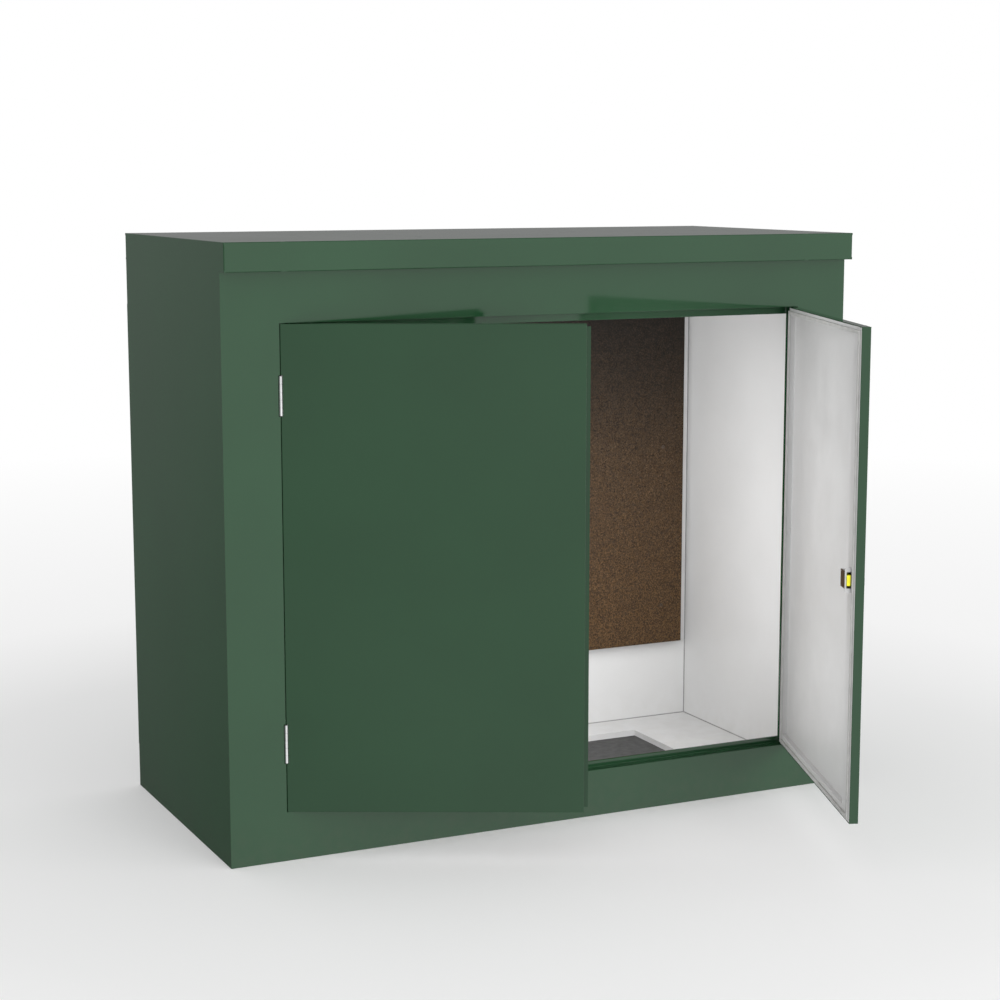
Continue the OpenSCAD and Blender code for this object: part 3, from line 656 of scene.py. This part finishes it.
def build_door(side):
    matrix, body = leaves[side], f"{side}_door"
    skin, edge = leaf_box(f"{side}_door_skin", side), leaf_box(f"{side}_door_edge", side)
    panel, rim = leaf_box(f"{side}_door_panel", side), leaf_box(f"{side}_door_rim", side)
    stile_node = "meeting_stile" if side == "left" else "lock_stile"
    stile = leaf_box(stile_node, side)
    plate = leaf_box(f"{side}_door_hinge_plates", side)
    notches = []
    for z0, z1 in spans_z(f"{side}_frame_hinge_plates"):
        notches.append((False, box((-PAST, -PAST, z0 - RELIEF_END),
                                   (RELIEF_R, RELIEF_R, z1 + RELIEF_END))))
        notches.append((False, box((-PAST, MORTISE_V, z0),
                                   (skin[0].x + PLATE_T, plate[1].y, z1))))
    hole = None
    if side == "right":
        escutcheon = leaf_box("lock_escutcheon", side)
        case = leaf_box("lock_case", side)
        hole = (escutcheon[0].x + escutcheon[1].x) / 2, (case[0].z + case[1].z) / 2, BORE_HALF
    outer = box(skin[0], (skin[1].x, edge[1].y, skin[1].z))
    steps = [(True, outer),
             (False, box(panel[0], (panel[1].x, edge[1].y + PAST, panel[1].z))), *notches]
    if hole:
        x, z, r = hole
        steps.append((False, box((x - r, -PAST, z - r), (x + r, panel[0].y + PAST, z + r))))
    bm = carve(steps)
    lo, hi = outer

    def outside(face):
        c = face.calc_center_median()
        return min(abs(c.x - lo[0]), abs(c.x - hi[0]), abs(c.z - lo[2]), abs(c.z - hi[2]),
                   abs(c.y - lo[1])) < HAIR

    round_edges(bm, ROUND_SKIN, lambda e, f, g: outside(f) and outside(g)
                and e.calc_length() > LONG_EDGE, material=1)
    finish_mesh(bm, f"{side}_door_moulding", body, "green_door", ("green_door", "green_edge"),
                (f"{side}_door_skin", f"{side}_door_edge"), matrix)

    rim_x, rim_z = (levels_leaf(f"{side}_door_rim", side, a) for a in (0, 2))
    inner_lo = Vector((rim_x[1], rim[0].y, rim_z[1]))
    inner_hi = Vector((rim_x[-2], rim[1].y + PAST, stile[1].z))
    steps = [(True, box(panel[0], (panel[1].x, rim[1].y, panel[1].z))),
             (False, box(inner_lo, inner_hi)),
             (True, box(stile[0], stile[1]))]
    if hole:
        x, z, r = hole
        steps.append((False, box((x - r, panel[0].y - PAST, z - r),
                                 (x + r, stile[1].y + PAST, z + r))))
    bm = carve(steps)

    def inside(face):
        c = face.calc_center_median()
        if face.normal.y < -0.5 or c.y < panel[1].y - HAIR:
            return False
        return not (hole and abs(c.x - hole[0]) < BORE_NEAR and abs(c.z - hole[1]) < BORE_NEAR)

    round_edges(bm, ROUND_LINER, lambda e, f, g: inside(f) and inside(g)
                and e.calc_length() > LINER_EDGE)
    finish_mesh(bm, f"{side}_door_liner", body, "white_door", ("white_door",),
                (f"{side}_door_panel", f"{side}_door_rim", stile_node), matrix)


for door in ("left", "right"):
    build_door(door)


# Edges of the carried-over nodes ------------------------------------------------

ROUND_LINING, ROUND_STRIP, ROUND_FITTING = 0.0012, 0.0006, 0.0003
ROUND_SEAL, ROUND_BOARD = 0.0021, 0.0008
for wall in ("left_wall_lining", "right_wall_lining", "rear_wall_lining", "roof_lining",
             "front_lining", "floor_panel"):
    soften(wall, ROUND_LINING)
for part in ("meeting_strip", "shoot_bolt_guides", "top_shoot_bolt", "bottom_shoot_bolt"):
    soften(part, ROUND_STRIP)
for part in ("lock_case", "lock_cover", "lock_forend", "lock_bolt", "lock_keeper",
             "lock_escutcheon", "left_frame_hinge_plates", "right_frame_hinge_plates",
             "left_door_hinge_plates", "right_door_hinge_plates", "left_hinge_pins",
             "right_hinge_pins", "lock_barrel"):
    soften(part, ROUND_FITTING)
for seal in ("left_door_seal", "right_door_seal"):
    soften(seal, ROUND_SEAL, 4)
soften("backboard", ROUND_BOARD)


# Screws with cross recesses -----------------------------------------------------

body_of = {member: body for body, members in frame["record"]["behaviour"]["bodies"].items()
           for member in members}


def solids(node_name, matrix):
    """Vertices of each separate solid of a CAD node, in the frame of the matrix."""
    bm, back = bmesh.new(), matrix.inverted()
    bm.from_mesh(frame["nodes"][node_name].data)
    bmesh.ops.remove_doubles(bm, verts=bm.verts[:], dist=1e-6)
    seen, found = set(), []
    for start in bm.verts:
        if start in seen:
            continue
        group, stack = [], [start]
        seen.add(start)
        while stack:
            vert = stack.pop()
            group.append(back @ vert.co)
            for edge in vert.link_edges:
                other = edge.other_vert(vert)
                if other not in seen:
                    seen.add(other)
                    stack.append(other)
        found.append(group)
    bm.free()
    return found


def add_screw(bm, points, axis, head_h, pan):
    """A screw in the space of the CAD one, along one axis of its frame."""
    lo, hi = ([pick(p[a] for p in points) for a in range(3)] for pick in (min, max))
    mid = [(p + q) / 2 for p, q in zip(lo, hi)]
    u, v = (a for a in range(3) if a != axis)

    def radius(end):
        return max(math.hypot(p[u] - mid[u], p[v] - mid[v])
                   for p in points if abs(p[axis] - end) < 1e-5)

    shank, head = sorted((radius(lo[axis]), radius(hi[axis])))
    up = radius(hi[axis]) > radius(lo[axis])
    length, top = hi[axis] - lo[axis], (hi if up else lo)[axis]
    turn = random.uniform(0.0, math.pi / 2)

    def vert(x, y, depth):
        co = [0.0, 0.0, 0.0]
        co[u], co[v] = mid[u] + x, mid[v] + y
        co[axis] = top - depth if up else top + depth
        return bm.verts.new(co)

    def ring(r, depth, count=24):
        return [vert(r * math.cos(math.tau * k / count), r * math.sin(math.tau * k / count), depth)
                for k in range(count)]

    def cross(arm, half, depth):
        outline = []
        for k in range(4):
            a = turn + k * math.pi / 2
            c, s = math.cos(a), math.sin(a)
            for x, y in ((arm, -half), (arm, half), (half, half)):
                outline.append(vert(x * c - y * s, x * s + y * c, depth))
        return outline

    def skin(first, second):
        for k, _ in enumerate(first):
            n = (k + 1) % len(first)
            bm.faces.new((first[k], first[n], second[n], second[k]))

    if pan:
        profile = ((0.78 * head, 0.0), (0.95 * head, 0.25 * head_h), (head, 0.6 * head_h),
                   (head, head_h), (shank, head_h), (shank, length))
    else:
        profile = ((0.97 * head, 0.0), (0.99 * head, 0.03 * head_h), (shank, head_h),
                   (shank, length - shank), (0.3 * shank, length))
    rings = [ring(r, depth) for r, depth in profile]
    for first, second in zip(rings, rings[1:]):
        skin(first, second)
    bm.faces.new(rings[-1])
    face_r = profile[0][0]
    upper = cross(0.66 * face_r, 0.15 * face_r, 0.0)
    lower = cross(0.34 * face_r, 0.09 * face_r, 0.42 * head)
    skin(upper, lower)
    bm.faces.new(lower)
    rim = [bm.edges.get((loop[k], loop[(k + 1) % len(loop)]))
           for loop in (rings[0], upper) for k in range(len(loop))]
    bmesh.ops.triangle_fill(bm, use_beauty=True, edges=rim)


def build_screws(node_name, matrix, axis, head_h, pan=False):
    bm = bmesh.new()
    for points in solids(node_name, matrix):
        add_screw(bm, points, axis, head_h, pan)
    bmesh.ops.recalc_face_normals(bm, faces=bm.faces[:])
    finish_mesh(bm, f"{node_name}_cross", body_of[node_name], slot_of[node_name],
                (slot_of[node_name],), (node_name,), matrix, sharp=0.5)


BOARD_HEAD, SMALL_HEAD, CASE_HEAD, PAN_HEAD = 0.003, 0.0014, 0.0012, 0.0008
cabinet_frame = Matrix.Identity(4)
build_screws("backboard_screws", cabinet_frame, 1, BOARD_HEAD)
for door in ("left", "right"):
    build_screws(f"{door}_frame_hinge_screws", cabinet_frame, 0, SMALL_HEAD)
    build_screws(f"{door}_door_hinge_screws", leaves[door], 0, SMALL_HEAD)
for screws in ("meeting_strip_screws", "lock_keeper_screws", "shoot_bolt_guide_screws"):
    build_screws(screws, leaves["left"], 1, SMALL_HEAD)
build_screws("lock_case_screws", leaves["right"], 1, CASE_HEAD)
build_screws("lock_cover_screws", leaves["right"], 0, PAN_HEAD, pan=True)


# Sealant in the corners of the cabin ---------------------------------------------

BEAD_SIZE, BEAD_STEPS = 0.0022, 4


def add_bead(bm, start, end, u, v):
    """Hollow fillet from start to end, in the corner between directions u and v."""
    loops = []
    for point in (Vector(start), Vector(end)):
        loop = [bm.verts.new(point)]
        for k in range(BEAD_STEPS + 1):
            a = k / BEAD_STEPS * math.pi / 2
            out = Vector(u) * (1.0 - math.sin(a)) + Vector(v) * (1.0 - math.cos(a))
            loop.append(bm.verts.new(point + out * BEAD_SIZE))
        loops.append(loop)
    count = len(loops[0])
    for k in range(count):
        n = (k + 1) % count
        bm.faces.new((loops[0][k], loops[0][n], loops[1][n], loops[1][k]))
    bm.faces.new(loops[0])
    bm.faces.new(loops[1])


def build_sealant():
    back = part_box("rear_wall_lining")[0].y
    left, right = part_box("left_wall_lining")[1].x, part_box("right_wall_lining")[0].x
    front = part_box("front_lining")[1].y
    low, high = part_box("floor_panel")[1].z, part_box("roof_lining")[0].z
    bm = bmesh.new()
    for x, inward in ((left, 1.0), (right, -1.0)):
        add_bead(bm, (x, back, low), (x, back, high), (inward, 0, 0), (0, -1, 0))
        add_bead(bm, (x, front, low), (x, back, low), (inward, 0, 0), (0, 0, 1))
    add_bead(bm, (left, back, low), (right, back, low), (0, -1, 0), (0, 0, 1))
    bmesh.ops.recalc_face_normals(bm, faces=bm.faces[:])
    finish_mesh(bm, "corner_sealant", "cabinet", "white_lining", ("sealant",))


build_sealant()


# Floor, and painted shade for the ground in the cable aperture -------------------

def stage_mesh(name, fill, height):
    bm = bmesh.new()
    fill(bm)
    mesh = bpy.data.meshes.new(name)
    bm.to_mesh(mesh)
    bm.free()
    obj = link(bpy.data.objects.new(name, mesh))
    obj.location.z = cad_box[0].z + height
    obj.visible_glossy = False
    return obj


FLOOR_RADIUS = 60.0
FLOOR_SHADE, FLOOR_GLOW = (0.71, 0.71, 0.71), 0.22
FLOOR_NEAR, FLOOR_MIDDLE, FLOOR_FAR = 1.4, 2.2, 6.2   # it fades to white between these distances
STAGE_GAP = 0.0005       # the stage's surfaces and the base are this far apart
GROUND_OVER = (1.08, 1.15)            # how far the ground reaches past the aperture


def build_floor():
    """Pale floor that turns white with distance, and a dark sheet of painted shade as the ground under the
    aperture.
    """
    floor = stage_mesh("floor", lambda bm: bmesh.ops.create_circle(
        bm, cap_ends=True, cap_tris=True, segments=96, radius=FLOOR_RADIUS), -STAGE_GAP)
    made = Finish("floor", FLOOR_SHADE, 0.7, specular=0.1)
    made.shader.inputs["Emission Color"].default_value = (1.0, 1.0, 1.0, 1.0)
    made.shader.inputs["Emission Strength"].default_value = FLOOR_GLOW
    reach = made.add("ShaderNodeVectorMath", operation="LENGTH")
    made.wire(made.place, reach.inputs[0])
    near = made.span(reach.outputs["Value"], FLOOR_NEAR, FLOOR_MIDDLE, 0.0, 0.45)
    far = made.math("ADD", near, made.span(reach.outputs["Value"], FLOOR_MIDDLE, FLOOR_FAR,
                                           0.0, 0.55))
    glow = made.add("ShaderNodeEmission")
    glow.inputs["Color"].default_value = (1.0, 1.0, 1.0, 1.0)
    mix = made.add("ShaderNodeMixShader")
    made.wire(far, mix.inputs[0])
    made.wire(made.shader.outputs[0], mix.inputs[1])
    made.wire(glow.outputs[0], mix.inputs[2])
    made.wire(mix.outputs[0], made.tree.nodes["Material Output"].inputs[0])
    floor.data.materials.append(made.material)

    wide = max(c for c in levels("floor_panel", 0) if c < 0.6)
    deep = max(c for c in levels("floor_panel", 1) if c < 0.3)
    corners = ((-wide, -deep), (wide, -deep), (wide, deep), (-wide, deep))
    # Painted shade: a dark grey sheet under the aperture stands in for the shade on the ground beneath the
    # cabinet.
    ground = stage_mesh("ground", lambda bm: bm.faces.new(
        [bm.verts.new((GROUND_OVER[0] * x, GROUND_OVER[1] * y, 0.0)) for x, y in corners]),
        STAGE_GAP)
    painted_shade_finish = Finish("ground", (0.08, 0.08, 0.08), 0.9, specular=0.2)
    painted_shade_finish.color(painted_shade_finish.blend(painted_shade_finish.span(painted_shade_finish.noise(60.0, 6.0), 0.3, 0.7), (0.065, 0.065, 0.065),
                          (0.095, 0.095, 0.095)))
    ground.data.materials.append(painted_shade_finish.material)


build_floor()

# Large softbox in front, and two small fills for the white linings and the open door
area_light("front_softbox", (0.9, -6.5, 1.4), (0.0, 0.0, 0.6), (3.0, 2.4), 165.0)
area_light("cabin_fill", (0.0, -0.28, 0.66), (0.0, 0.3, 0.60), (1.1, 0.9), 11.5)
area_light("door_fill", (-0.3, -0.31, 0.74), (0.52, -0.63, 0.74), (0.3, 1.0), 1.7, 80.0)
